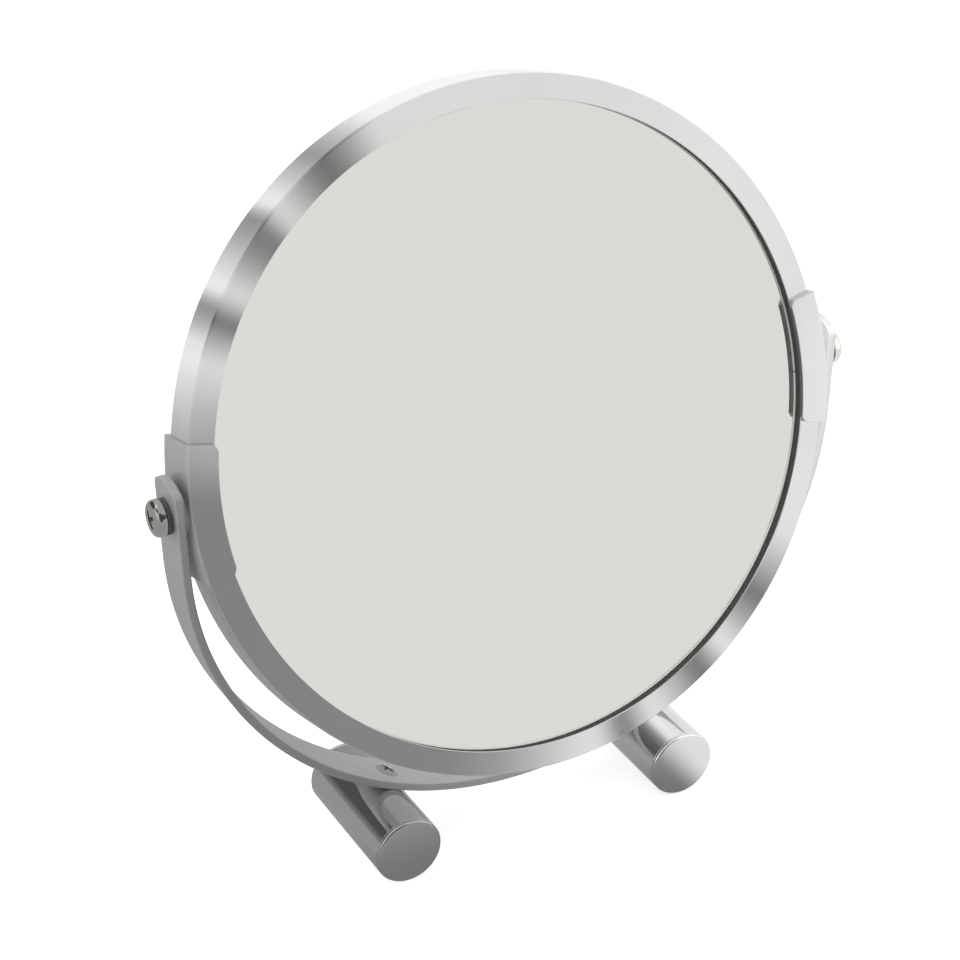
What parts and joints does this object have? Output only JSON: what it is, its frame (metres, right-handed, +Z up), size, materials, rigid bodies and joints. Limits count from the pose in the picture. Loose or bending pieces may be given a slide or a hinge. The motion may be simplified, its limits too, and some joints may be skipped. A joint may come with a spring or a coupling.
{
  "type": "magnifying table mirror",
  "caption": "Round reversible magnifying mirror in a channel frame, turning on side pivots in a bent strip bow that stands on polished cross-tube feet.",
  "frame": {"origin": "on the table, below the middle of the pivot axis", "axes": "+Z up; +X along the pivot axis to the viewer's right; -Y is the side that the flat glass faces"},
  "size_m": [0.192, 0.0564, 0.1961],
  "materials": {
    "ring_aluminium": "spun satin, streaked along the round",
    "gasket_pvc": "matte dark",
    "mirror_plain": "polished, flat",
    "mirror_magnifying": "polished, concave",
    "spacer_plastic": "matte",
    "card": "matte",
    "block_silver": "satin silver lacquer",
    "nut_steel": "zinc plated",
    "screw_nickel": "bright nickel",
    "washer_black": "blackened",
    "washer_nylon": "matte",
    "bow_silver": "satin silver lacquer",
    "foot_chrome": "bright chrome",
    "cap_chrome": "satin chrome",
    "core_steel": "bare steel"
  },
  "bodies": {
    "stand": {"bow": "bow_silver", "foot_tube_left": "foot_chrome", "foot_tube_right": "foot_chrome", "foot_cap_left_front": "cap_chrome", "foot_cap_left_rear": "cap_chrome", "foot_cap_right_front": "cap_chrome", "foot_cap_right_rear": "cap_chrome", "foot_core_left": "core_steel", "foot_core_right": "core_steel", "foot_screw_left": "screw_nickel", "foot_screw_right": "screw_nickel"},
    "mirror_head": {"frame_ring": "ring_aluminium", "edge_gasket": "gasket_pvc", "mirror_glass_plain": "mirror_plain", "mirror_glass_magnifying": "mirror_magnifying", "glass_spacer_ring": "spacer_plastic", "backing_card": "card", "pivot_block_left": "block_silver", "pivot_block_right": "block_silver", "pivot_nut_left": "nut_steel", "pivot_nut_right": "nut_steel", "pivot_screw_left": "screw_nickel", "pivot_screw_right": "screw_nickel", "spring_washer_left": "washer_black", "spring_washer_right": "washer_black", "pivot_washer_left": "washer_nylon", "pivot_washer_right": "washer_nylon"}
  },
  "joints": [
    {"name": "head_tilt", "type": "hinge", "parent": "stand", "child": "mirror_head", "pos_m": [0, 0, 0.1102], "axis": [1, 0, 0], "continuous": true}
  ]
}
